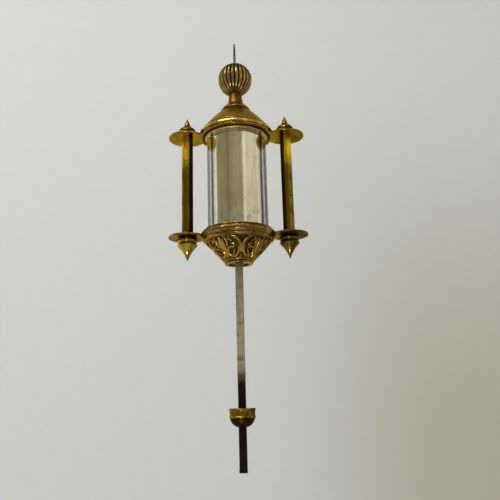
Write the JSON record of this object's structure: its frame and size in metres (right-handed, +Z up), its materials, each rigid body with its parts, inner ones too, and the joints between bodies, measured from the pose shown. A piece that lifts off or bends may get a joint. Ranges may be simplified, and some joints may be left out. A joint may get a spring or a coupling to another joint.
{
  "type": "clock pendulum with lantern bob",
  "caption": "Brass lantern-shaped clock pendulum bob with a mirror-plated tube in a glass jar between pillars, sliding on a flat steel rod above a knurled rating nut.",
  "frame": {"origin": "shoulder of the suspension stud on the rod's axis, where the clock's hook seats", "axes": "+Z up along the rod, towards the suspension; X across the two pillars, along the strip's width"},
  "size_m": [0.0648, 0.0354, 0.2036],
  "materials": {
    "antique_brass": "dark antique, dirt in the flutes",
    "spun_brass": "satin, warm brown tarnish",
    "polished_brass": "polished with tarnish spots",
    "cup_brass": "embossed, dark in the recesses",
    "clear_glass": "polished",
    "nickel_plate": "mirror polished",
    "iron_weight": "as cast",
    "felt": "felt washer",
    "inner_brass": "turned",
    "inner_steel": "drawn",
    "rod_steel": "dull, nearly black on the lower end",
    "stud_steel": "dull drawn wire",
    "nut_brass": "knurled, dark on the dome"
  },
  "bodies": {
    "rod": {"pendulum_rod": "rod_steel", "suspension_stud": "stud_steel"},
    "bob": {"ribbed_ball": "antique_brass", "ball_neck": "spun_brass", "shoulder_cap": "spun_brass", "canopy": "spun_brass", "canopy_rim": "spun_brass", "top_plate": "polished_brass", "left_pillar": "polished_brass", "right_pillar": "polished_brass", "upper_left_finial": "polished_brass", "upper_right_finial": "polished_brass", "lower_left_finial": "polished_brass", "lower_right_finial": "polished_brass", "jar_bezel": "polished_brass", "bottom_gallery": "cup_brass", "embossed_cup": "cup_brass", "cup_foot": "cup_brass", "glass_jar": "clear_glass", "mirror_tube": "nickel_plate", "upper_tube_cap": "nickel_plate", "lower_tube_cap": "nickel_plate", "weight_slug": "iron_weight", "upper_gasket": "felt", "lower_gasket": "felt", "core_tube": "inner_brass", "upper_core_nut": "inner_brass", "lower_core_nut": "inner_brass", "left_tie_rod": "inner_steel", "right_tie_rod": "inner_steel", "friction_spring": "inner_steel"},
    "washer": {"nut_washer": "nut_brass"},
    "nut": {"rating_nut": "nut_brass"}
  },
  "joints": [
    {"name": "bob_slide", "type": "slide", "parent": "rod", "child": "bob", "axis": [0, 0, 1], "range_m": [-0.0635, 0]},
    {"name": "nut_travel", "type": "slide", "parent": "rod", "child": "washer", "axis": [0, 0, 1], "range_m": [-0.016, 0]},
    {"name": "nut_turn", "type": "hinge", "parent": "washer", "child": "nut", "pos_m": [0, 0, -0.1662], "axis": [0, 0, 1], "range_deg": [-7200, 0]}
  ],
  "couplings": [
    {"joint": "nut_turn", "follows": "nut_travel", "rad_per_m": 7854}
  ]
}
